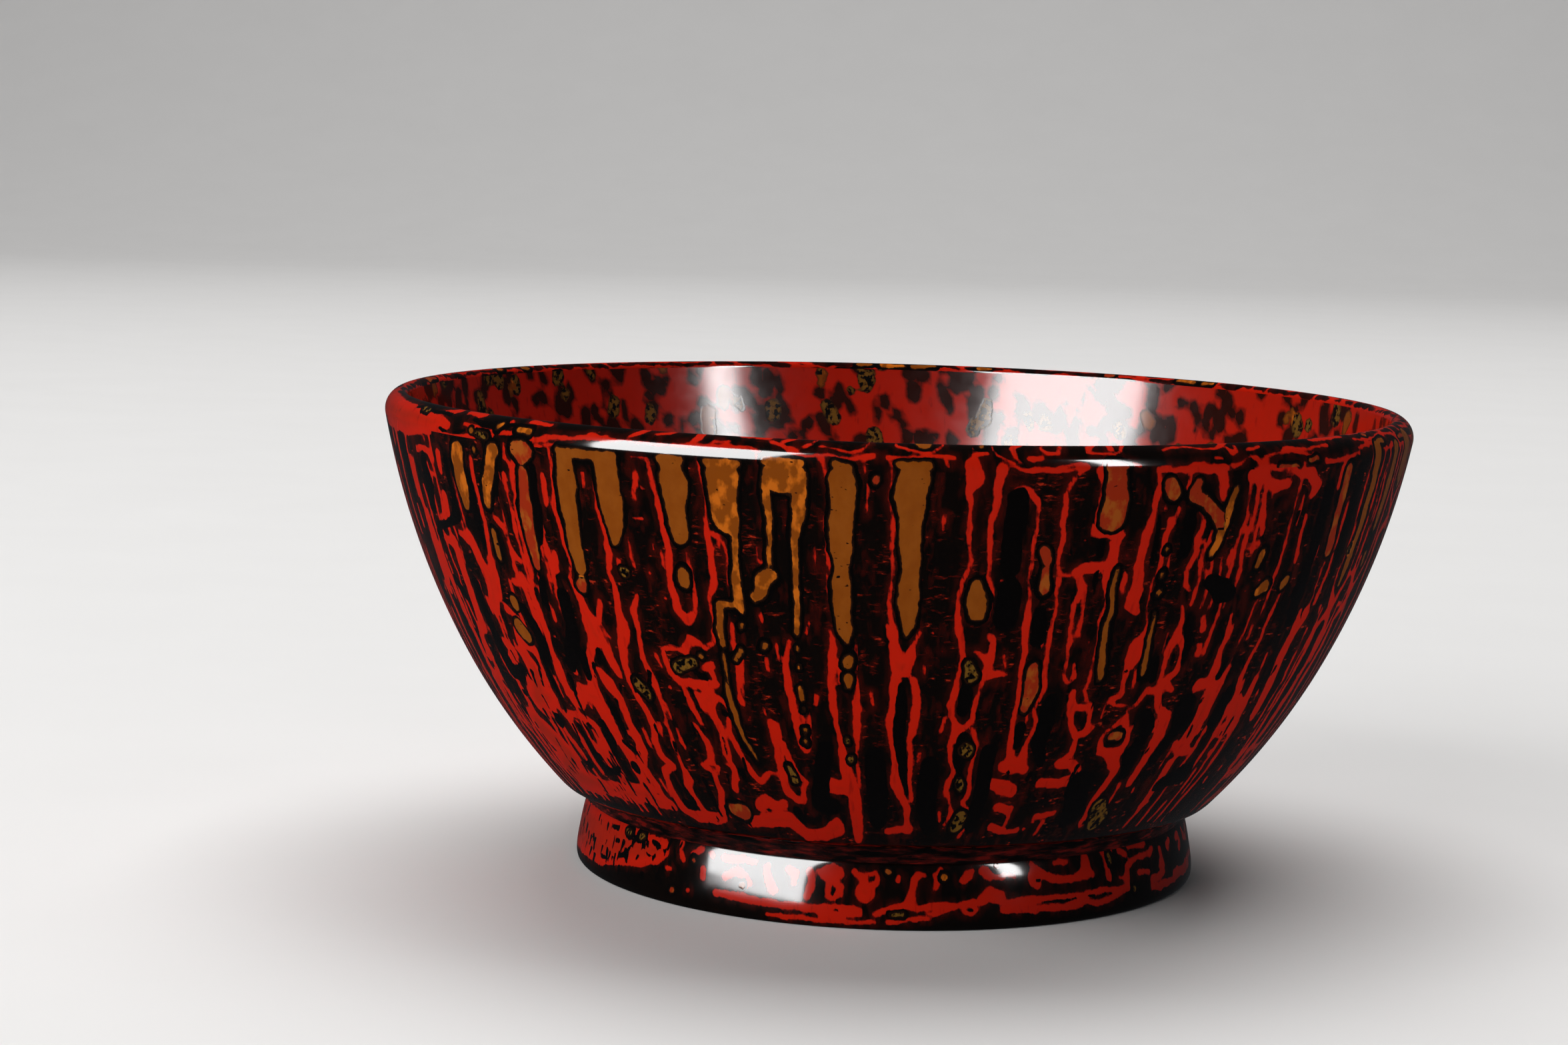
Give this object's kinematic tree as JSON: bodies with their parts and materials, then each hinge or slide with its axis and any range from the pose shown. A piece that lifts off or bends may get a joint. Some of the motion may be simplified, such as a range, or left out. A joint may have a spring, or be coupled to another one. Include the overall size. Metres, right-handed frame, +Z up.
{
  "type": "lacquered wooden bowl",
  "caption": "Round turned-wood bowl on a low foot ring, with marbled black, vermilion and ochre polished lacquer.",
  "frame": {"origin": "centre of the foot ring's resting face, on the bowl's axis", "axes": "+Z up along the bowl's axis, foot to mouth; round about Z, so X and Y are any two directions"},
  "size_m": [0.13, 0.13, 0.0599],
  "materials": {
    "turned_wood": "turned, raw",
    "hemp_cloth": "plain weave hemp, stiffened",
    "lacquer_putty": "matt, rubbed flat",
    "wall_lacquer": "marbled black, vermilion and ochre, polished",
    "inside_lacquer": "marbled vermilion and black, polished",
    "rim_lacquer": "marbled black and vermilion, polished",
    "neck_lacquer": "dark red-brown, polished",
    "foot_lacquer": "marbled vermilion and black, polished",
    "base_lacquer": "black, polished"
  },
  "bodies": {
    "root": {"wood_core": "turned_wood", "rim_cloth": "hemp_cloth", "foot_cloth": "hemp_cloth", "outer_ground": "lacquer_putty", "inner_ground": "lacquer_putty", "foot_ground": "lacquer_putty", "outer_lacquer": "wall_lacquer", "inner_lacquer": "inside_lacquer", "rim_lacquer": "rim_lacquer", "neck_lacquer": "neck_lacquer", "foot_lacquer": "foot_lacquer", "base_lacquer": "base_lacquer"}
  },
  "joints": []
}
